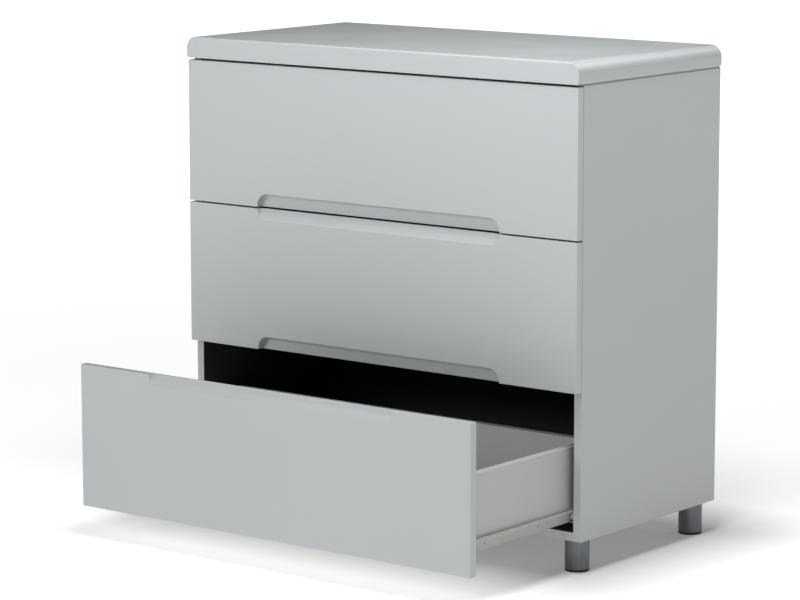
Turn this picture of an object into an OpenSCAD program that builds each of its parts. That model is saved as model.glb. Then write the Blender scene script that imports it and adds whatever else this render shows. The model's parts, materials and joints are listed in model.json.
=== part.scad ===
// Changing chest with three overlay drawers on four short round legs.
// Frame: X to the right, Y to the back, Z up, floor at Z = 0.
// The bottom drawer stands pulled out; the origin is the middle of the whole footprint.

/* [Overall] */
// Width of the carcass and of the drawer fronts
case_w = 900; // [800:10:1200]
// Depth from the closed drawer fronts to the back
case_d = 450; // [450:5:600]
// Height of one drawer front and the gap above it
front_pitch = 270; // [240:5:320]
// Height of the legs, floor caps included
leg_h = 60; // [40:5:120]

/* [Boards] */
// Thickness of the sides, bottom, rails and fronts
board_t = 16; // [16:1:19]
// Thickness of the top
top_t = 40; // [32:1:50]
// Thickness of the back panel
back_t = 3; // [3:1:5]
// How far the back panel is let in from the rear edge
back_inset = 10; // [8:1:20]
// Rounding of the left and right upper edges of the top
top_side_r = 22; // [10:1:24]
// Rounding of the left and right lower edges of the top
top_under_r = 5; // [1:1:6]
// Rounding of the front and rear upper edges of the top
top_front_r = 4; // [1:0.5:6]
// How far the top stands out over the sides and the fronts
top_overhang = 2; // [0:0.5:10]
// Depth of the top rails
rail_d = 80; // [70:5:120]

/* [Drawer fronts] */
// Gap between two fronts
front_gap = 3; // [2:0.5:5]
// Width of a finger recess
grip_w = 564; // [200:2:600]
// Height of the finger recess along a lower edge
grip_h = 25; // [25:1:35]
// Height of the finger recess along an upper edge
scoop_h = 21; // [16:1:30]
// Depth of the finger recess along a lower edge
grip_d = 12.5; // [8:0.5:13]
// Depth of the finger recess along an upper edge
scoop_d = 8; // [5:0.5:12]
// Radius of the corners of a finger recess, seen from the front
grip_end_r = 24; // [12:1:24]
// Radius between the back and the roof of a lower finger recess
grip_cove_r = 8; // [4:1:8]

/* [Drawer boxes] */
// Length of the drawer sides and of the runners
box_len = 400; // [300:10:400]
// Height of the drawer sides
box_h = 133; // [90:1:160]
// Thickness of the drawer sides and back
box_t = 16; // [15:1:16]
// Thickness of the drawer bottom
box_bottom_t = 4; // [3:0.5:6]
// Distance from the lower edge of a front to the lower edge of its sides
box_lift = 35; // [33:1:45]
// How far a drawer pulls out
travel = 305; // [200:5:305]

/* [Runners] */
// Gap between a drawer side and the carcass
runner_gap = 12.5; // [12.5:0.5:13]
// Thickness of the runner steel
sheet_t = 1.2; // [1:0.1:1.2]
// Radius of the roller at the front of the carcass
cabinet_roller_r = 8.5; // [8.5:0.1:9]
// Radius of the roller at the rear of the drawer
drawer_roller_r = 7.7; // [7:0.1:7.7]

/* [Legs] */
// Diameter of a leg
leg_d = 44; // [36:1:50]
// Distance from the outer side face to a leg's axis
leg_inset_x = 31; // [30:1:60]
// Distance from the carcass edge to a leg's axis
leg_inset_y = 34; // [30:1:60]
// Height of the black floor cap
cap_h = 4; // [3:1:8]

/* [Hidden] */
$fn = 64;
BOTTOM = 0;
MIDDLE = 1;
TOP = 2;
LEFT = -1;
RIGHT = 1;
DRAWERS = [BOTTOM, MIDDLE, TOP];
SIDES = [LEFT, RIGHT];

lacquer = [0.91, 0.915, 0.92];
melamine = [0.88, 0.885, 0.89];
hardboard = [0.82, 0.82, 0.81];
leg_steel = [0.45, 0.45, 0.44];
zinc = [0.62, 0.63, 0.65];
white_steel = [0.9, 0.9, 0.9];
nylon = [0.8, 0.8, 0.78];
beech = [0.76, 0.6, 0.42];
black_plastic = [0.05, 0.05, 0.05];

// Clearance around pins, screws and dowels, and the overshoot of a cut past a face
fit = 0.05;
cut = 1;

// Depth: the closed front faces, the carcass edge, the back panel and the rear edge
open_rest = travel;
bumper_gap = 1;
face_y = -(case_d - open_rest) / 2;
carcass_y = face_y + board_t + bumper_gap;
back_y = face_y + case_d;
back_panel_y = back_y - back_inset - back_t;
carcass_d = back_y - carcass_y;
inner_d = back_panel_y - carcass_y;
groove_depth = 6;

// Height: the carcass, the rails and the fronts
carcass_h = len(DRAWERS) * front_pitch;
top_z = leg_h + carcass_h;
rail_z = top_z - board_t;
front_h = front_pitch - front_gap;
front_drop = 1;
shadow_gap = 2;
shadow_depth = 1.5;

// Width: the carcass inside, the drawer box outside and inside
inner_x = case_w / 2 - board_t;
box_out_x = inner_x - runner_gap;
box_in_x = box_out_x - box_t;
box_mid_x = (box_out_x + box_in_x) / 2;

// Drawer bottom, above the lower edge of the sides
bottom_lift = 12;
bottom_z = box_lift + bottom_lift;
box_rear = board_t + box_len;

// Runner section, in heights above the lower edge of the front
roller_gap = 0.3;
tread_w = 18.2;
tread_z = box_lift + tread_w;
cabinet_roller_z = tread_z - roller_gap - cabinet_roller_r;
channel_z = cabinet_roller_z - cabinet_roller_r - roller_gap;
lip_play = 0.4;
channel_top_z = tread_z - lip_play - sheet_t;
drawer_roller_z = channel_z + roller_gap + drawer_roller_r;
web_below = 6.6;
web_above = 8.8;
leg_out_x = box_out_x + sheet_t;
web_in_x = inner_x - sheet_t;
channel_side_gap = 0.7;
channel_tip_x = leg_out_x + channel_side_gap;
tread_side_gap = 3.6;
tread_tip_x = inner_x - tread_side_gap;
tuck_w = 14;
axle_r = 2.5;
rivet_r = 4;
rivet_t = 0.6;
axle_end_gap = 0.8;
roller_play = 0.3;
roller_side_gap = 0.9;
cabinet_roller_x = [channel_tip_x + rivet_t + roller_play, web_in_x - roller_side_gap];
drawer_axle_x = web_in_x - axle_end_gap;
drawer_roller_x = [leg_out_x + roller_side_gap, drawer_axle_x - rivet_t - roller_play];

// Runner positions along the depth, behind the closed front face
runner_setback = 3;
front_roller_step = 12;
rear_roller_step = 10;
runner_y = runner_setback + board_t;
front_roller_y = runner_y + front_roller_step;
rear_roller_y = box_rear - rear_roller_step;
stop_t = 2;
stop_h = 4;
stop_gap = 1;
lip_gap = 2;
screw_steps = [41, 196, 351];
spare_hole_step = 16;
spare_hole_r = 2.2;

// Screws
screw_r = 1.75;
head_r = 3;
head_top_r = 2.4;
head_h = 1.6;
tip_r = 0.45;
screw_l = 13;
top_screw_r = 2;
top_screw_l = 34;
top_screw_steps = [-300, 0, 300];

// Dowels and cam fittings
dowel_r = 4;
dowel_l = 30;
dowel_in_face = 10;
front_dowel_z = [65, 140];
back_dowel_z = [80, 145];
cam_r = 7.5;
cam_h = 12.5;
cam_inset = 34;
bolt_r = 3;
bolt_in_side = 11;
bolt_head_r = 3.5;
bolt_head_l = 4;

// Back panel pins
pin_r = 0.8;
pin_l = 20;
pin_head_r = 1.8;
pin_head_t = 0.6;
pin_steps = [-390 : 130 : 390];

// Legs
leg_wall = 1.5;
leg_plate_t = 3;
cap_plug_h = 8;
leg_bolt_r = 4;
leg_bolt_hex_r = 7.5;
leg_bolt_hex_h = 5.3;
insert_r = 5.5;
insert_h = 13;

// Each row of carcass joints: where its cam and its dowel are, and the board's underside
bottom_cam_step = 83;
bottom_dowel_step = 130;
rail_cam_step = 25;
rail_dowel_step = 55;
joint_rows = [
    [carcass_y + bottom_cam_step, carcass_y + bottom_dowel_step, leg_h],
    [back_panel_y - bottom_cam_step, back_panel_y - bottom_dowel_step, leg_h],
    [carcass_y + rail_cam_step, carcass_y + rail_dowel_step, rail_z],
    [back_panel_y - rail_cam_step, back_panel_y - rail_dowel_step, rail_z]
];

// ---------- placing and shared shapes ----------

function front_z(level) = leg_h - front_drop + level * front_pitch;
function pull(level) = level == BOTTOM ? open_rest : 0;

// Moves a shape from the right to the left half
module on_side(side) {
    if (side > 0) children();
    else mirror([1, 0, 0]) children();
}

// Puts a shape at one level: Y from the closed front face, Z from the front's lower edge
module at_level(level) {
    translate([0, face_y, front_z(level)]) children();
}

// The same, but moving with the drawer
module in_drawer(level) {
    translate([0, -pull(level), 0]) at_level(level) children();
}

// A block given by its low and high corners
module block(low, high) {
    translate(low) cube(high - low);
}

// Round bars along X and Y, from a start point
module bar_x(start, r, length) {
    translate(start) rotate([0, 90, 0]) cylinder(r = r, h = length);
}

module bar_y(start, r, length) {
    translate(start) rotate([-90, 0, 0]) cylinder(r = r, h = length);
}

module bar_z(start, r, length) {
    translate(start) cylinder(r = r, h = length);
}

// A rectangle centred on X whose two upper corners are round
module arch_2d(width, height, r) {
    translate([-width / 2, 0]) square([width, height - r]);
    translate([-width / 2 + r, 0]) square([width - 2 * r, height]);
    for (side = SIDES) translate([side * (width / 2 - r), height - r]) circle(r = r);
}

// The same with round lower corners as well, of a smaller radius
module slab_2d(width, height, r, under_r) {
    translate([0, under_r]) arch_2d(width, height - under_r, r);
    translate([-width / 2 + under_r, 0]) square([width - 2 * under_r, height - r]);
    for (side = SIDES) translate([side * (width / 2 - under_r), under_r]) circle(r = under_r);
}

// Repeats a shape at every leg's axis
module at_legs() {
    for (side = SIDES, y = [carcass_y + leg_inset_y, back_y - leg_inset_y])
        translate([side * (case_w / 2 - leg_inset_x), y, 0]) children();
}

// A wood screw that points up from its head's underside
module screw_up(r, length) {
    translate([0, 0, -head_h]) cylinder(r1 = head_top_r, r2 = head_r, h = head_h);
    cylinder(r = r, h = length - r);
    translate([0, 0, length - r]) cylinder(r1 = r, r2 = tip_r, h = r);
}

// ---------- carcass ----------

module top_panel_shape() {
    width = case_w + 2 * top_overhang;
    depth = case_d + top_overhang;
    intersection() {
        translate([0, back_y, top_z]) rotate([90, 0, 0]) linear_extrude(height = depth)
            slab_2d(width, top_t, top_side_r, top_under_r);
        translate([-width / 2, back_y - depth / 2, top_z]) rotate([90, 0, 90])
            linear_extrude(height = width) arch_2d(depth, top_t, top_front_r);
    }
}

module top_panel() {
    color(lacquer) difference() {
        top_panel_shape();
        top_screw_bores(top_screw_r + fit);
    }
}

// Bores for the screws that hold the top, through the rails and into the top
module top_screw_bores(r) {
    for (x = top_screw_steps, y = [carcass_y + rail_d / 2, back_panel_y - rail_d / 2])
        bar_z([x, y, rail_z - cut], r, top_screw_l + cut + fit);
}

module side_panel(side) {
    color(lacquer) on_side(side) difference() {
        block([inner_x, carcass_y, leg_h], [case_w / 2, back_y, top_z]);
        block([inner_x - cut, back_panel_y, leg_h - cut],
              [inner_x + groove_depth, back_panel_y + back_t, top_z + cut]);
        block([case_w / 2 - shadow_depth, carcass_y - cut, top_z - shadow_gap],
              [case_w / 2 + cut, back_y + cut, top_z + cut]);
        side_joint_bores();
        for (level = DRAWERS) at_level(level) cabinet_screw_bores();
    }
}

// Blind bores in a side panel for the cam bolts and the dowels
module side_joint_bores() {
    for (row = joint_rows) {
        bar_x([inner_x - cut, row[0], row[2] + board_t / 2], bolt_r + fit, bolt_in_side + cut + fit);
        bar_x([inner_x - cut, row[1], row[2] + board_t / 2], dowel_r + fit,
              dowel_in_face + cut + fit);
    }
}

module cabinet_screw_bores() {
    for (y = screw_steps)
        bar_x([web_in_x - cut, runner_y + y, tread_z + web_above / 2 + fit], screw_r + fit,
              screw_l + cut + fit);
}

// Bores for the cams, bolts and dowels in both ends of a bottom or rail board
module board_joint_bores(rows) {
    for (side = SIDES, row = rows) on_side(side) {
        bar_z([inner_x - cam_inset, row[0], row[2] - cut], cam_r + fit, cam_h + cut + fit);
        bar_x([inner_x - cam_inset, row[0], row[2] + board_t / 2], bolt_head_r + fit,
              cam_inset + cut);
        bar_x([inner_x - dowel_l + dowel_in_face - fit, row[1], row[2] + board_t / 2],
              dowel_r + fit, dowel_l);
    }
}

module pin_bores(r) {
    for (x = pin_steps, z = [leg_h, rail_z])
        bar_y([x, back_panel_y + back_t - pin_l - fit, z + board_t / 2], r, pin_l + cut);
}

module bottom_panel() {
    color(melamine) difference() {
        block([-inner_x, carcass_y, leg_h], [inner_x, back_panel_y, leg_h + board_t]);
        board_joint_bores([joint_rows[0], joint_rows[1]]);
        pin_bores(pin_r + fit);
        at_legs() bar_z([0, 0, leg_h - cut], insert_r + fit, insert_h + cut + fit);
    }
}

module back_panel() {
    color(hardboard) difference() {
        block([-inner_x - groove_depth, back_panel_y, leg_h],
              [inner_x + groove_depth, back_panel_y + back_t, top_z]);
        pin_bores(pin_r + fit);
    }
}

// A flat rail under the top, from one depth to another, with its row of joints
module top_rail(y0, y1, row) {
    color(melamine) difference() {
        block([-inner_x, y0, rail_z], [inner_x, y1, top_z]);
        board_joint_bores([row]);
        pin_bores(pin_r + fit);
        top_screw_bores(top_screw_r + fit);
    }
}

module front_top_rail() {
    top_rail(carcass_y, carcass_y + rail_d, joint_rows[2]);
}

module rear_top_rail() {
    top_rail(back_panel_y - rail_d, back_panel_y, joint_rows[3]);
}

// ---------- legs ----------

// One tube leg with a closed top, bored for its bolt
module leg(side, y) {
    color(leg_steel) translate([side * (case_w / 2 - leg_inset_x), y, 0]) difference() {
        bar_z([0, 0, cap_h], leg_d / 2, leg_h - cap_h);
        bar_z([0, 0, cap_h - cut], leg_d / 2 - leg_wall, leg_h - leg_plate_t - cap_h + cut);
        bar_z([0, 0, leg_h - leg_plate_t - cut], leg_bolt_r + fit, leg_plate_t + 2 * cut);
    }
}

module front_leg(side) {
    leg(side, carcass_y + leg_inset_y);
}

module rear_leg(side) {
    leg(side, back_y - leg_inset_y);
}

module leg_floor_caps() {
    color(black_plastic) at_legs() {
        cylinder(r = leg_d / 2, h = cap_h);
        cylinder(r = leg_d / 2 - leg_wall - fit, h = cap_h + cap_plug_h);
    }
}

module leg_bolts() {
    plate_z = leg_h - leg_plate_t;
    color(zinc) at_legs() {
        bar_z([0, 0, plate_z], leg_bolt_r, leg_plate_t + insert_h - cut);
        translate([0, 0, plate_z - leg_bolt_hex_h])
            cylinder(r = leg_bolt_hex_r, h = leg_bolt_hex_h, $fn = 6);
    }
}

module leg_threaded_inserts() {
    color(zinc) at_legs() difference() {
        bar_z([0, 0, leg_h], insert_r, insert_h);
        bar_z([0, 0, leg_h - cut], leg_bolt_r + fit, insert_h + 2 * cut);
    }
}

// ---------- carcass fittings ----------

module carcass_cam_locks() {
    color(zinc) for (side = SIDES, row = joint_rows) on_side(side)
        translate([inner_x - cam_inset, row[0], row[2]]) difference() {
            cylinder(r = cam_r, h = cam_h);
            bar_x([-bolt_head_r, 0, board_t / 2], bolt_head_r + fit, cam_r + bolt_head_r + cut);
            block([-cam_r / 2, -cut / 2, -cut], [cam_r / 2, cut / 2, cut]);
        }
}

module carcass_cam_bolts() {
    reach = cam_inset - bolt_head_l / 2;
    color(zinc) for (side = SIDES, row = joint_rows) on_side(side)
        translate([inner_x - reach, row[0], row[2] + board_t / 2]) {
            bar_x([0, 0, 0], bolt_head_r, bolt_head_l);
            bar_x([0, 0, 0], bolt_r, reach + bolt_in_side);
        }
}

module carcass_dowels() {
    color(beech) for (side = SIDES, row = joint_rows) on_side(side)
        bar_x([inner_x - dowel_l + dowel_in_face, row[1], row[2] + board_t / 2], dowel_r, dowel_l);
}

module top_panel_screws() {
    color(zinc)
        for (x = top_screw_steps, y = [carcass_y + rail_d / 2, back_panel_y - rail_d / 2])
            translate([x, y, rail_z]) screw_up(top_screw_r, top_screw_l);
}

module back_panel_pins() {
    color(zinc) for (x = pin_steps, z = [leg_h, rail_z]) {
        bar_y([x, back_panel_y + back_t - pin_l, z + board_t / 2], pin_r, pin_l);
        bar_y([x, back_panel_y + back_t, z + board_t / 2], pin_head_r, pin_head_t);
    }
}

// ---------- carcass runners ----------

// Channel that the drawer's rear roller runs in, with the axle of the front roller
module cabinet_runner(level, side) {
    y0 = runner_y;
    y1 = runner_y + box_len;
    lip_y = front_roller_y + cabinet_roller_r + lip_gap;
    open_stop_y = rear_roller_y - travel - drawer_roller_r - stop_gap;
    color(white_steel) at_level(level) on_side(side) difference() {
        union() {
            block([web_in_x, y0, channel_z - web_below], [inner_x, y1, tread_z + web_above]);
            block([channel_tip_x, y0, channel_z - sheet_t], [inner_x, y1, channel_z]);
            block([channel_tip_x, lip_y, channel_top_z], [inner_x, y1, channel_top_z + sheet_t]);
            block([channel_tip_x, open_stop_y - stop_t, channel_z - sheet_t],
                  [inner_x, open_stop_y, channel_z + stop_h]);
            block([channel_tip_x, y1 - stop_t, channel_z - sheet_t],
                  [inner_x, y1, channel_z + stop_h]);
            bar_x([channel_tip_x, front_roller_y, cabinet_roller_z], axle_r,
                  inner_x - channel_tip_x);
            bar_x([channel_tip_x, front_roller_y, cabinet_roller_z], rivet_r, rivet_t);
        }
        cabinet_screw_bores();
    }
}

module cabinet_runner_screws() {
    color(zinc) for (level = DRAWERS, side = SIDES, y = screw_steps)
        at_level(level) on_side(side)
            translate([web_in_x, runner_y + y, tread_z + web_above / 2 + fit])
                rotate([0, 90, 0]) screw_up(screw_r, screw_l);
}

// A pair of nylon rollers, each between two distances from the middle
module roller_pair(span, y, z, r) {
    width = span[1] - span[0];
    color(nylon) for (side = SIDES) on_side(side) difference() {
        bar_x([span[0], y, z], r, width);
        bar_x([span[0] - cut, y, z], axle_r + fit, width + 2 * cut);
    }
}

module cabinet_rollers(level) {
    at_level(level)
        roller_pair(cabinet_roller_x, front_roller_y, cabinet_roller_z, cabinet_roller_r);
}

// ---------- drawers ----------

// Outline of a finger recess seen from the front, from below an edge up to a height
module grip_outline(height, end_r) {
    translate([0, grip_d + cut, -cut]) rotate([90, 0, 0])
        linear_extrude(height = grip_d + 3 * cut) arch_2d(grip_w, height + cut, end_r);
}

// Finger recess along a lower edge: an upright back that turns into its roof with a cove
module lower_grip() {
    intersection() {
        grip_outline(grip_h, grip_end_r);
        translate([-grip_w / 2 - cut, 0, 0]) rotate([90, 0, 90])
            linear_extrude(height = grip_w + 2 * cut) {
                translate([-cut, -cut]) square([grip_d + cut, grip_h - grip_cove_r + cut]);
                translate([-cut, 0]) square([grip_d - grip_cove_r + cut, grip_h]);
                translate([grip_d - grip_cove_r, grip_h - grip_cove_r]) circle(r = grip_cove_r);
            }
    }
}

// Finger recess along an upper edge, drawn upside down: a hollow that runs out to the face
module upper_grip() {
    scoop_r = (scoop_h * scoop_h + scoop_d * scoop_d) / (2 * scoop_d);
    intersection() {
        grip_outline(scoop_h + cut / 2, min(grip_end_r, scoop_h - cut));
        bar_x([-grip_w / 2 - cut, scoop_d - scoop_r, 0], scoop_r, grip_w + 2 * cut);
    }
}

// Overlay front with its recesses, the groove for the bottom and the dowel bores
module drawer_front(level) {
    color(lacquer) in_drawer(level) difference() {
        block([-case_w / 2, 0, 0], [case_w / 2, board_t, front_h]);
        if (level > BOTTOM) lower_grip();
        if (level < TOP) translate([0, 0, front_h]) mirror([0, 0, 1]) upper_grip();
        block([-box_in_x - groove_depth, board_t - groove_depth, bottom_z],
              [box_in_x + groove_depth, board_t + cut, bottom_z + box_bottom_t]);
        for (side = SIDES, z = front_dowel_z)
            bar_y([side * box_mid_x, board_t - dowel_in_face - fit, z], dowel_r + fit, dowel_l);
    }
}

module drawer_side(level, side) {
    color(melamine) in_drawer(level) on_side(side) difference() {
        block([box_in_x, board_t, box_lift], [box_out_x, box_rear, box_lift + box_h]);
        block([box_in_x - cut, board_t - cut, bottom_z],
              [box_in_x + groove_depth, box_rear + cut, bottom_z + box_bottom_t]);
        for (z = front_dowel_z)
            bar_y([box_mid_x, 0, z], dowel_r + fit, board_t + dowel_l - dowel_in_face + fit);
        for (z = back_dowel_z)
            bar_x([box_in_x - cut, box_rear - box_t / 2, z], dowel_r + fit,
                  dowel_in_face + cut + fit);
        drawer_screw_bores();
    }
}

module drawer_screw_bores() {
    for (y = screw_steps)
        bar_z([box_mid_x, runner_y + y, box_lift - sheet_t - cut], screw_r + fit,
              screw_l + cut + fit);
}

module drawer_back(level) {
    color(melamine) in_drawer(level) difference() {
        block([-box_in_x, box_rear - box_t, bottom_z + box_bottom_t],
              [box_in_x, box_rear, box_lift + box_h]);
        for (side = SIDES, z = back_dowel_z) on_side(side)
            bar_x([box_in_x - dowel_l + dowel_in_face - fit, box_rear - box_t / 2, z],
                  dowel_r + fit, dowel_l);
    }
}

module drawer_bottom(level) {
    color(hardboard) in_drawer(level)
        block([-box_in_x - groove_depth, board_t - groove_depth, bottom_z],
              [box_in_x + groove_depth, box_rear, bottom_z + box_bottom_t]);
}

module drawer_dowels(level) {
    color(beech) in_drawer(level) {
        for (side = SIDES, z = front_dowel_z)
            bar_y([side * box_mid_x, board_t - dowel_in_face, z], dowel_r, dowel_l);
        for (side = SIDES, z = back_dowel_z) on_side(side)
            bar_x([box_in_x - dowel_l + dowel_in_face, box_rear - box_t / 2, z], dowel_r, dowel_l);
    }
}

// Angle under the drawer side with the tread that rolls on the carcass roller
module drawer_runner(level, side) {
    color(white_steel) in_drawer(level) on_side(side) difference() {
        union() {
            block([box_out_x - tuck_w, runner_y, box_lift - sheet_t],
                  [leg_out_x, box_rear, box_lift]);
            block([box_out_x, runner_y, box_lift - sheet_t],
                  [leg_out_x, box_rear, tread_z + sheet_t]);
            block([box_out_x, runner_y, tread_z], [tread_tip_x, box_rear, tread_z + sheet_t]);
            bar_x([box_out_x, rear_roller_y, drawer_roller_z], axle_r, drawer_axle_x - box_out_x);
            bar_x([drawer_axle_x - rivet_t, rear_roller_y, drawer_roller_z], rivet_r, rivet_t);
        }
        drawer_screw_bores();
        for (y = screw_steps)
            bar_x([box_out_x - cut, runner_y + y + spare_hole_step, tread_z - tread_w / 2],
                  spare_hole_r, 2 * cut + sheet_t);
    }
}

module drawer_runner_screws(level) {
    color(zinc) in_drawer(level) for (side = SIDES, y = screw_steps) on_side(side)
        translate([box_mid_x, runner_y + y, box_lift - sheet_t]) screw_up(screw_r, screw_l);
}

module drawer_rollers(level) {
    in_drawer(level)
        roller_pair(drawer_roller_x, rear_roller_y, drawer_roller_z, drawer_roller_r);
}

// ---------- the pieces ----------

top_panel();
side_panel(LEFT);  // left_side_panel
side_panel(RIGHT);  // right_side_panel
bottom_panel();
back_panel();
front_top_rail();
rear_top_rail();
front_leg(LEFT);  // front_left_leg
front_leg(RIGHT);  // front_right_leg
rear_leg(LEFT);  // rear_left_leg
rear_leg(RIGHT);  // rear_right_leg
leg_floor_caps();
leg_bolts();
leg_threaded_inserts();
cabinet_runner(TOP, LEFT);  // top_left_cabinet_runner
cabinet_runner(TOP, RIGHT);  // top_right_cabinet_runner
cabinet_runner(MIDDLE, LEFT);  // middle_left_cabinet_runner
cabinet_runner(MIDDLE, RIGHT);  // middle_right_cabinet_runner
cabinet_runner(BOTTOM, LEFT);  // bottom_left_cabinet_runner
cabinet_runner(BOTTOM, RIGHT);  // bottom_right_cabinet_runner
cabinet_runner_screws();
carcass_cam_locks();
carcass_cam_bolts();
carcass_dowels();
top_panel_screws();
back_panel_pins();
cabinet_rollers(TOP);  // top_cabinet_rollers
cabinet_rollers(MIDDLE);  // middle_cabinet_rollers
cabinet_rollers(BOTTOM);  // bottom_cabinet_rollers
drawer_front(TOP);  // top_drawer_front
drawer_side(TOP, LEFT);  // top_drawer_left_side
drawer_side(TOP, RIGHT);  // top_drawer_right_side
drawer_back(TOP);  // top_drawer_back
drawer_bottom(TOP);  // top_drawer_bottom
drawer_runner(TOP, LEFT);  // top_drawer_left_runner
drawer_runner(TOP, RIGHT);  // top_drawer_right_runner
drawer_dowels(TOP);  // top_drawer_dowels
drawer_runner_screws(TOP);  // top_drawer_runner_screws
drawer_rollers(TOP);  // top_drawer_rollers
drawer_front(MIDDLE);  // middle_drawer_front
drawer_side(MIDDLE, LEFT);  // middle_drawer_left_side
drawer_side(MIDDLE, RIGHT);  // middle_drawer_right_side
drawer_back(MIDDLE);  // middle_drawer_back
drawer_bottom(MIDDLE);  // middle_drawer_bottom
drawer_runner(MIDDLE, LEFT);  // middle_drawer_left_runner
drawer_runner(MIDDLE, RIGHT);  // middle_drawer_right_runner
drawer_dowels(MIDDLE);  // middle_drawer_dowels
drawer_runner_screws(MIDDLE);  // middle_drawer_runner_screws
drawer_rollers(MIDDLE);  // middle_drawer_rollers
drawer_front(BOTTOM);  // bottom_drawer_front
drawer_side(BOTTOM, LEFT);  // bottom_drawer_left_side
drawer_side(BOTTOM, RIGHT);  // bottom_drawer_right_side
drawer_back(BOTTOM);  // bottom_drawer_back
drawer_bottom(BOTTOM);  // bottom_drawer_bottom
drawer_runner(BOTTOM, LEFT);  // bottom_drawer_left_runner
drawer_runner(BOTTOM, RIGHT);  // bottom_drawer_right_runner
drawer_dowels(BOTTOM);  // bottom_drawer_dowels
drawer_runner_screws(BOTTOM);  // bottom_drawer_runner_screws
drawer_rollers(BOTTOM);  // bottom_drawer_rollers
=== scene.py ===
import json
import math

import bmesh
import bpy
from mathutils import Euler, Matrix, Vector


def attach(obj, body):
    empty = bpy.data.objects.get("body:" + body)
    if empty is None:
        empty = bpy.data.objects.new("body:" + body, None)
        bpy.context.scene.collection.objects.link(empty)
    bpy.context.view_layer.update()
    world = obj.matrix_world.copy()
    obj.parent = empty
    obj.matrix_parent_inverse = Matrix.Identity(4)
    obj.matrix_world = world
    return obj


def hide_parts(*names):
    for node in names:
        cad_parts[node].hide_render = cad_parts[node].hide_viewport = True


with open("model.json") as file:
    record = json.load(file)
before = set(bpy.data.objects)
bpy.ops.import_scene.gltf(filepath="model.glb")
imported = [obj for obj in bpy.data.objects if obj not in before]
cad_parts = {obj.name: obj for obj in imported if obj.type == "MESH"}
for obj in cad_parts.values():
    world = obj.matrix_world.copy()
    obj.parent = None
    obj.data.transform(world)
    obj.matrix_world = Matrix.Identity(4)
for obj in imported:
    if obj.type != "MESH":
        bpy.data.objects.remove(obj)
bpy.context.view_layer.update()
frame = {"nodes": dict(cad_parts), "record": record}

# Changing chest: three overlay drawers, the bottom one pulled out, on four short legs.
# Metres, +X right, +Y back, +Z up, floor at Z = 0.

MM = 0.001


# ---------- sizes, room and view ----------

# Radius of the small rounding on the hard edges of each kind of piece
EDGE_RADIUS = {
    "top_panel": 0.8 * MM,
    "front": 0.9 * MM,
    "side_panel": 0.7 * MM,
    "board": 0.5 * MM,
    "sheet": 0.25 * MM,
    "leg": 0.6 * MM,
}
# Faces across one rounding
ROUNDING_STEPS = 3
# Corners closer than this are one corner
WELD = 0.002 * MM
# Faces that turn by less than this are one flat face
FLAT = math.radians(0.6)
# Faces that turn by more than this meet in a hard edge
SHARP = math.radians(32)
# Hard edges shorter than this stay unrounded, except on the top panel
SHORTEST = 0.9 * MM
# Points this close to a plane lie in it
SAME_PLANE = 0.01 * MM
# Pieces whose rounding isn't narrowed to suit their shortest edge
FULL_ROUND = ("top_panel", "bottom_drawer_front")
# Pieces with a finger recess along the upper edge, and the zone there that stays unrounded
SCOOPED = ("middle_drawer_front", "bottom_drawer_front")
SCOOP_HEIGHT = 22 * MM
SCOOP_HALF_WIDTH = 283 * MM

# Directions
LEFT = (-1, 0, 0)
RIGHT = (1, 0, 0)
FORWARD = (0, -1, 0)
BACKWARD = (0, 1, 0)
UP = (0, 0, 1)
DOWN = (0, 0, -1)
# The ways that the inside faces of each carcass board look; these faces get a near-black painted shade
PAINTED_SHADE_FACES = {
    "left_side_panel": (RIGHT,),
    "right_side_panel": (LEFT,),
    "back_panel": (FORWARD,),
    "bottom_panel": (UP,),
    "front_top_rail": (FORWARD, BACKWARD, DOWN),
    "rear_top_rail": (FORWARD, BACKWARD, DOWN),
}
# A face looks a way when the dot product of its normal and that way is more than this
LOOKS_ALONG = 0.9

# Side of the square floor
FLOOR_SIZE = 60
# Middle and half size of a box that stands on the carcass's footprint and takes in the floor
FOOTPRINT_MIDDLE = (0.0, 0.15, 0.0)
FOOTPRINT_HALF = (0.45, 0.225, 1.0)
# Strength of the floor's glow under the chest, kept low there as painted shade, and from GLOW_STEP away
# on, where the glow is painted light
PAINTED_SHADE_GLOW_UNDER = 0.17
GLOW_BESIDE = 0.67
GLOW_STEP = 0.22
# Strength of further painted light glow that is added between these two distances
GLOW_ADDED = 0.55
GLOW_ADDED_FROM = 0.5
GLOW_ADDED_TO = 6.0

# Colours of the dim room in front of the chest, behind it and overhead
ROOM_FRONT = (0.125, 0.126, 0.128)
ROOM_BACK = (0.106, 0.108, 0.110)
ROOM_TOP = (0.02, 0.02, 0.02)
# Y parts of a direction between which the room turns from front to back,
# and Z parts between which it turns to overhead
ROOM_TURN = (-0.2, 0.7)
ROOM_RISE = (0.05, 0.9)
# Lights: place, the point that each faces, width and power in watts
LIGHTS = {
    "left_light": ((-2.0, -5.5, 3.4), (0.0, 0.0, 0.5), 2.5, 116),
    "near_light": ((0.65, -0.85, 2.7), (0.35, 0.0, 0.9), 0.8, 20),
    "top_light": ((0.5, -0.25, 2.1), (0.4, 0.0, 0.9), 0.6, 17),
    "back_light": ((1.5, 3.5, 4.0), (0.0, 0.15, 0.8), 2.5, 26),
}

# Camera: place, angles in radians (yaw to the left, pitch down) and focal length in millimetres
CAMERA_PLACE = (3.6855, -4.6678, 1.4136)
CAMERA_YAW = 0.668
CAMERA_PITCH = 0.162
CAMERA_ROLL = 0.001
CAMERA_LENS = 147.24


# ---------- node helpers ----------

def new_material(name):
    """An empty node material with its Principled shader and output joined."""
    material = bpy.data.materials.new(name)
    material.use_nodes = True
    tree = material.node_tree
    tree.nodes.clear()
    output = tree.nodes.new("ShaderNodeOutputMaterial")
    shader = tree.nodes.new("ShaderNodeBsdfPrincipled")
    tree.links.new(shader.outputs["BSDF"], output.inputs["Surface"])
    return material, tree, shader


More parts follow.
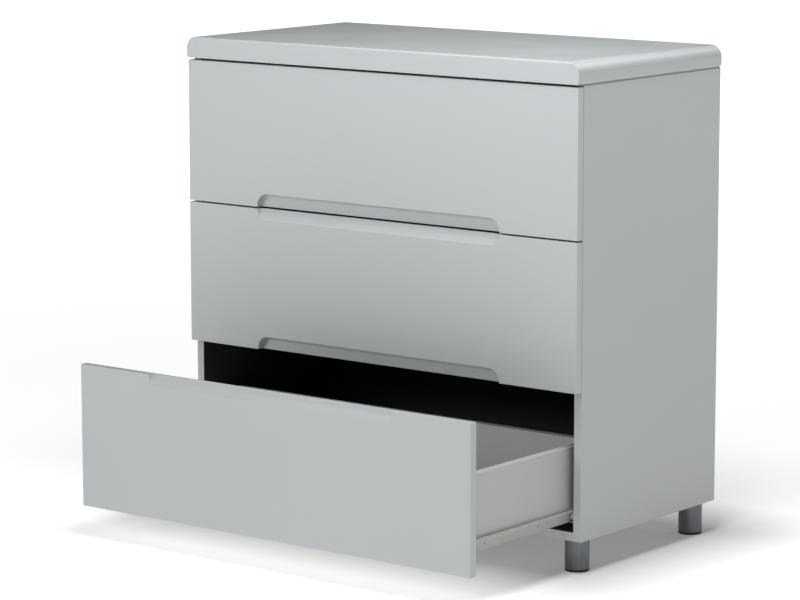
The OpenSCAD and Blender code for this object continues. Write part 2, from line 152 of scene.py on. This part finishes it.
def noise(tree, scale, detail, roughness=0.5, stretch=(1, 1, 1)):
    """Noise in object coordinates, stretched along the axes; returns its 0 to 1 value."""
    place = tree.nodes.new("ShaderNodeTexCoord")
    mapping = tree.nodes.new("ShaderNodeMapping")
    mapping.inputs["Scale"].default_value = stretch
    texture = tree.nodes.new("ShaderNodeTexNoise")
    texture.inputs["Scale"].default_value = scale
    texture.inputs["Detail"].default_value = detail
    texture.inputs["Roughness"].default_value = roughness
    tree.links.new(place.outputs["Object"], mapping.inputs["Vector"])
    tree.links.new(mapping.outputs["Vector"], texture.inputs["Vector"])
    return texture.outputs["Fac"]


def remap(tree, value, low, high, from_low=0.3, from_high=0.7):
    """Maps a value to a range, clamped."""
    node = tree.nodes.new("ShaderNodeMapRange")
    node.inputs["From Min"].default_value = from_low
    node.inputs["From Max"].default_value = from_high
    node.inputs["To Min"].default_value = low
    node.inputs["To Max"].default_value = high
    tree.links.new(value, node.inputs["Value"])
    return node.outputs["Result"]


def tint(tree, factor, dark, light):
    """A colour between two, by a 0 to 1 factor; either may be another node's output."""
    node = tree.nodes.new("ShaderNodeMix")
    node.data_type = "RGBA"
    tree.links.new(factor, node.inputs["Factor"])
    for socket, colour in (("A", dark), ("B", light)):
        if isinstance(colour, tuple):
            node.inputs[socket].default_value = (*colour, 1)
        else:
            tree.links.new(colour, node.inputs[socket])
    return node.outputs["Result"]


def bump(tree, shader, height, strength, distance):
    """Joins a height to the shader as a bump."""
    node = tree.nodes.new("ShaderNodeBump")
    node.inputs["Strength"].default_value = strength
    node.inputs["Distance"].default_value = distance
    tree.links.new(height, node.inputs["Height"])
    tree.links.new(node.outputs["Normal"], shader.inputs["Normal"])


def vector_step(tree, operation, first, second=None, output="Vector"):
    """One step of vector maths on a node's output, with a constant as the second value."""
    node = tree.nodes.new("ShaderNodeVectorMath")
    node.operation = operation
    tree.links.new(first, node.inputs[0])
    if second is not None:
        node.inputs[1].default_value = second
    return node.outputs[output]


def weighted_sum(tree, first, second, share):
    """The first value plus a share of the second."""
    node = tree.nodes.new("ShaderNodeMath")
    node.operation = "MULTIPLY_ADD"
    node.inputs[1].default_value = share
    tree.links.new(second, node.inputs[0])
    tree.links.new(first, node.inputs[2])
    return node.outputs["Value"]


# ---------- materials ----------

def lacquer_material():
    """Satin pale grey-white lacquer: a faint cloudiness and a soft orange peel."""
    material, tree, shader = new_material("satin_lacquer")
    cloud = remap(tree, noise(tree, 2.2, 3.0), 0.0, 1.0)
    colour = tint(tree, cloud, (0.493, 0.516, 0.527), (0.507, 0.530, 0.541))
    tree.links.new(colour, shader.inputs["Base Color"])
    gloss = remap(tree, noise(tree, 9.0, 5.0), 0.29, 0.37)
    tree.links.new(gloss, shader.inputs["Roughness"])
    bump(tree, shader, noise(tree, 240.0, 2.0), 0.05, 0.0002)
    shader.inputs["IOR"].default_value = 1.48
    shader.inputs["Coat Weight"].default_value = 0.25
    shader.inputs["Coat Roughness"].default_value = 0.18
    return material


def melamine_material():
    """Pale grey-white melamine board with its fine pearl grain."""
    material, tree, shader = new_material("white_melamine")
    cloud = remap(tree, noise(tree, 3.5, 3.0), 0.0, 1.0)
    colour = tint(tree, cloud, (0.50, 0.515, 0.52), (0.53, 0.545, 0.55))
    tree.links.new(colour, shader.inputs["Base Color"])
    gloss = remap(tree, noise(tree, 60.0, 3.0), 0.42, 0.55)
    tree.links.new(gloss, shader.inputs["Roughness"])
    pearl = noise(tree, 900.0, 3.0, 0.6)
    bump(tree, shader, pearl, 0.22, 0.0002)
    return material


def hardboard_material():
    """Pale foil over hardboard, with the board's pressed texture showing through."""
    material, tree, shader = new_material("foiled_hardboard")
    cloud = remap(tree, noise(tree, 6.0, 4.0), 0.0, 1.0)
    colour = tint(tree, cloud, (0.50, 0.50, 0.485), (0.57, 0.57, 0.555))
    tree.links.new(colour, shader.inputs["Base Color"])
    fibre = noise(tree, 260.0, 6.0, 0.65)
    tree.links.new(remap(tree, fibre, 0.5, 0.68), shader.inputs["Roughness"])
    bump(tree, shader, fibre, 0.30, 0.0003)
    return material


def steel_material(name, dark, light, rough, stretch):
    """Satin metal: a fine grain that the stretch draws out into lines, and slow stains in the gloss."""
    material, tree, shader = new_material(name)
    lines = noise(tree, 900.0, 6.0, 0.7, stretch)
    colour = tint(tree, remap(tree, lines, 0.0, 1.0), dark, light)
    tree.links.new(colour, shader.inputs["Base Color"])
    shader.inputs["Metallic"].default_value = 1.0
    stains = remap(tree, noise(tree, 35.0, 4.0), rough - 0.06, rough + 0.08)
    tree.links.new(stains, shader.inputs["Roughness"])
    bump(tree, shader, lines, 0.20, 0.00015)
    return material


def powder_coat_material():
    """Warm grey powder coat on sheet steel: a tight pebble and soft gloss."""
    material, tree, shader = new_material("white_powder_coat")
    cloud = remap(tree, noise(tree, 14.0, 3.0), 0.0, 1.0)
    colour = tint(tree, cloud, (0.41, 0.417, 0.39), (0.46, 0.467, 0.44))
    tree.links.new(colour, shader.inputs["Base Color"])
    pebble = noise(tree, 1500.0, 2.0)
    tree.links.new(remap(tree, pebble, 0.33, 0.46), shader.inputs["Roughness"])
    bump(tree, shader, pebble, 0.25, 0.0002)
    return material


def painted_shade_lining_material():
    """Near-black painted shade on the inside faces of the carcass, standing in for the deep shade
    there, with a fine pearl grain.
    """
    material, tree, shader = new_material("painted_shade_inside")
    cloud = remap(tree, noise(tree, 5.0, 3.0), 0.0, 1.0)
    colour = tint(tree, cloud, (0.026, 0.028, 0.031), (0.034, 0.036, 0.040))
    tree.links.new(colour, shader.inputs["Base Color"])
    pearl = noise(tree, 800.0, 3.0, 0.6)
    tree.links.new(remap(tree, pearl, 0.46, 0.58), shader.inputs["Roughness"])
    bump(tree, shader, pearl, 0.22, 0.0002)
    return material


def moulded_material(name, dark, light, rough, grain):
    """Moulded plastic: fine spark-eroded grain and slightly uneven gloss."""
    material, tree, shader = new_material(name)
    cloud = remap(tree, noise(tree, 40.0, 3.0), 0.0, 1.0)
    tree.links.new(tint(tree, cloud, dark, light), shader.inputs["Base Color"])
    texture = noise(tree, grain, 3.0, 0.6)
    tree.links.new(remap(tree, texture, rough - 0.05, rough + 0.07), shader.inputs["Roughness"])
    bump(tree, shader, texture, 0.25, 0.0002)
    return material


def beech_material():
    """Raw beech: long grain with short dark rays."""
    material, tree, shader = new_material("raw_beech")
    grain = noise(tree, 60.0, 6.0, 0.6, (0.15, 1, 1))
    rays = noise(tree, 420.0, 3.0, 0.5, (0.3, 1, 1))
    mixed = weighted_sum(tree, grain, rays, 0.35)
    streaks = remap(tree, mixed, 0.0, 1.0, 0.45, 0.9)
    colour = tint(tree, streaks, (0.42, 0.25, 0.13), (0.62, 0.42, 0.25))
    tree.links.new(colour, shader.inputs["Base Color"])
    shader.inputs["Roughness"].default_value = 0.62
    bump(tree, shader, mixed, 0.3, 0.0003)
    return material


FINISH = {
    "lacquer": lacquer_material(),
    "melamine": melamine_material(),
    "hardboard": hardboard_material(),
    "leg_steel": steel_material("satin_leg_steel", (0.115, 0.123, 0.129), (0.195, 0.206, 0.214),
                                0.37, (1, 1, 0.04)),
    "zinc": steel_material("zinc_plate", (0.48, 0.49, 0.52), (0.62, 0.63, 0.66), 0.38, (1, 1, 1)),
    "runner_enamel": powder_coat_material(),
    "roller_nylon": moulded_material("natural_nylon", (0.58, 0.58, 0.54), (0.66, 0.66, 0.62),
                                     0.42, 700.0),
    "foot_plastic": moulded_material("black_plastic", (0.012, 0.012, 0.013), (0.022, 0.022, 0.022),
                                     0.45, 1200.0),
    "beech": beech_material(),
}
# Near-black painted shade for the inside faces of the carcass
PAINTED_SHADE_LINING = painted_shade_lining_material()
SLOT_OF = {row["node"]: row["material_slot"] for row in frame["record"]["subparts"]}


def body_of(node):
    """The CAD body that a node belongs to."""
    bodies = frame["record"]["behaviour"]["bodies"]
    return next(body for body, members in bodies.items() if node in members)


# ---------- pieces ----------

def is_hard(edge):
    """True where two faces meet in a hard edge."""
    return len(edge.link_faces) == 2 and edge.calc_face_angle(0.0) > SHARP


def panel_outlines(shape):
    """The hard edges that lie wholly in the foremost or the rearmost plane of a piece."""
    depths = [vert.co.y for vert in shape.verts]
    return [edge for edge in shape.edges if is_hard(edge)
            and any(all(abs(vert.co.y - end) < SAME_PLANE for vert in edge.verts)
                    for end in (min(depths), max(depths)))]


def outer_edges(shape, node):
    """The hard edges to round, without those of a finger recess along a front's upper edge."""
    if node == "top_panel":
        return panel_outlines(shape)
    edges = [edge for edge in shape.edges if is_hard(edge) and edge.calc_length() > SHORTEST]
    if node not in SCOOPED:
        return edges
    low = max(vert.co.z for vert in shape.verts) - SCOOP_HEIGHT
    return [edge for edge in edges
            if any(vert.co.z < low or abs(vert.co.x) > SCOOP_HALF_WIDTH for vert in edge.verts)]


def refine(node, radius):
    """Puts a cleaner copy of a CAD node, with its outer edges rounded, in the node's stead."""
    mesh = frame["nodes"][node].data.copy()
    shape = bmesh.new()
    shape.from_mesh(mesh)
    bmesh.ops.remove_doubles(shape, verts=shape.verts, dist=WELD)
    bmesh.ops.dissolve_limit(shape, angle_limit=FLAT, verts=shape.verts,
                             edges=shape.edges, use_dissolve_boundaries=False)
    bmesh.ops.bevel(shape, geom=outer_edges(shape, node), offset=radius, offset_type="OFFSET",
                    segments=ROUNDING_STEPS, profile=0.5, affect="EDGES",
                    clamp_overlap=node not in FULL_ROUND, harden_normals=False)
    for face in shape.faces:
        face.smooth = True
    for edge in shape.edges:
        edge.smooth = edge.calc_face_angle(0.0) < SHARP
    shape.to_mesh(mesh)
    shape.free()
    if mesh.has_custom_normals:
        mesh.attributes.remove(mesh.attributes["custom_normal"])
    piece = bpy.data.objects.new(node + "_piece", mesh)
    bpy.context.scene.collection.objects.link(piece)
    weighted = piece.modifiers.new("weighted_normals", "WEIGHTED_NORMAL")
    weighted.keep_sharp = True
    weighted.weight = 100
    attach(piece, body_of(node))
    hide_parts(node)
    finish(piece, SLOT_OF[node])
    # The inside faces of the carcass boards get the painted shade
    paint_inside_shade(piece, PAINTED_SHADE_FACES.get(node, ()))


def finish(piece, slot):
    """Puts a slot's material on every part of a piece."""
    piece.data.materials.clear()
    piece.data.materials.append(FINISH[slot])


def paint_inside_shade(piece, directions):
    """Puts the near-black painted shade on the faces of a carcass board that look one of these ways."""
    if directions:
        piece.data.materials.append(PAINTED_SHADE_LINING)
    for face in piece.data.polygons:
        if any(face.normal.dot(Vector(way)) > LOOKS_ALONG for way in directions):
            face.material_index = 1


def keep(node):
    """Leaves a CAD node in view and gives it its full material."""
    finish(frame["nodes"][node], SLOT_OF[node])


def radius_for(node):
    """Edge radius by what kind of piece the node is; None leaves the CAD node as it is."""
    if node == "top_panel":
        return EDGE_RADIUS["top_panel"]
    if node.endswith("drawer_front"):
        return EDGE_RADIUS["front"]
    if node.endswith("side_panel"):
        return EDGE_RADIUS["side_panel"]
    if node.endswith("_leg"):
        return EDGE_RADIUS["leg"]
    if SLOT_OF[node] == "runner_enamel":
        return EDGE_RADIUS["sheet"]
    if SLOT_OF[node] in ("melamine", "hardboard"):
        return EDGE_RADIUS["board"]
    return None


for node_name in frame["nodes"]:
    node_radius = radius_for(node_name)
    if node_radius is None:
        keep(node_name)
    else:
        refine(node_name, node_radius)


# ---------- stage, light and camera ----------

def stage_floor():
    """A pale floor, large enough to fill the view, that glows softly outside the chest's footprint as
    painted light, which whitens its shadows and lights the chest from below, and glows less under the
    chest as painted shade.
    """
    bpy.ops.mesh.primitive_plane_add(size=FLOOR_SIZE, location=(0, 0, 0))
    floor = bpy.context.object
    floor.name = "studio_floor"
    material, tree, shader = new_material("pale_floor")
    colour = tint(tree, noise(tree, 1.5, 2.0), (0.61, 0.61, 0.61), (0.63, 0.63, 0.63))
    tree.links.new(colour, shader.inputs["Base Color"])
    shader.inputs["Roughness"].default_value = 0.9
    shader.inputs["Emission Color"].default_value = (1, 1, 1, 1)
    place = tree.nodes.new("ShaderNodeTexCoord").outputs["Object"]
    from_middle = vector_step(tree, "SUBTRACT", place, FOOTPRINT_MIDDLE)
    beyond = vector_step(tree, "SUBTRACT", vector_step(tree, "ABSOLUTE", from_middle), FOOTPRINT_HALF)
    outside = vector_step(tree, "MAXIMUM", beyond, (0.0, 0.0, 0.0))
    distance = vector_step(tree, "LENGTH", outside, output="Value")
    # Painted shade: the glow drops low on the chest's footprint; beside and beyond it the glow is
    # painted light
    footprint_shade_glow = remap(tree, distance, PAINTED_SHADE_GLOW_UNDER, GLOW_BESIDE, 0.0, GLOW_STEP)
    added = remap(tree, distance, 0.0, GLOW_ADDED, GLOW_ADDED_FROM, GLOW_ADDED_TO)
    tree.links.new(weighted_sum(tree, footprint_shade_glow, added, 1.0), shader.inputs["Emission Strength"])
    floor.data.materials.append(material)


def studio_world():
    """A dim room around the chest, nearly dark overhead."""
    world = bpy.data.worlds.new("studio")
    bpy.context.scene.world = world
    world.use_nodes = True
    tree = world.node_tree
    tree.nodes.clear()
    output = tree.nodes.new("ShaderNodeOutputWorld")
    background = tree.nodes.new("ShaderNodeBackground")
    place = tree.nodes.new("ShaderNodeTexCoord")
    split = tree.nodes.new("ShaderNodeSeparateXYZ")
    tree.links.new(place.outputs["Generated"], split.inputs["Vector"])
    behind = remap(tree, split.outputs["Y"], 0.0, 1.0, *ROOM_TURN)
    wall = tint(tree, behind, ROOM_FRONT, ROOM_BACK)
    height = remap(tree, split.outputs["Z"], 0.0, 1.0, *ROOM_RISE)
    colour = tint(tree, height, wall, ROOM_TOP)
    tree.links.new(colour, background.inputs["Color"])
    tree.links.new(background.outputs["Background"], output.inputs["Surface"])


def softbox(name, place, aim, size, power):
    """A square area light that faces a point."""
    lamp = bpy.data.lights.new(name, "AREA")
    lamp.shape = "SQUARE"
    lamp.size = size
    lamp.energy = power
    box = bpy.data.objects.new(name, lamp)
    box.location = place
    box.rotation_euler = (Vector(aim) - Vector(place)).to_track_quat("-Z", "Y").to_euler()
    bpy.context.scene.collection.objects.link(box)


def camera():
    """A long lens to the right of the chest's front, a little above its top."""
    data = bpy.data.cameras.new("camera")
    data.sensor_width = 36.0
    data.lens = CAMERA_LENS
    data.clip_end = 100.0
    view = bpy.data.objects.new("camera", data)
    view.location = CAMERA_PLACE
    view.rotation_euler = Euler((math.pi / 2 - CAMERA_PITCH, CAMERA_ROLL, CAMERA_YAW), "XYZ")
    bpy.context.scene.collection.objects.link(view)
    bpy.context.scene.camera = view


stage_floor()
studio_world()
for light_name, (light_place, light_aim, light_size, light_power) in LIGHTS.items():
    softbox(light_name, light_place, light_aim, light_size, light_power)
camera()
bpy.context.scene.view_settings.view_transform = "Standard"
bpy.context.scene.view_settings.look = "None"
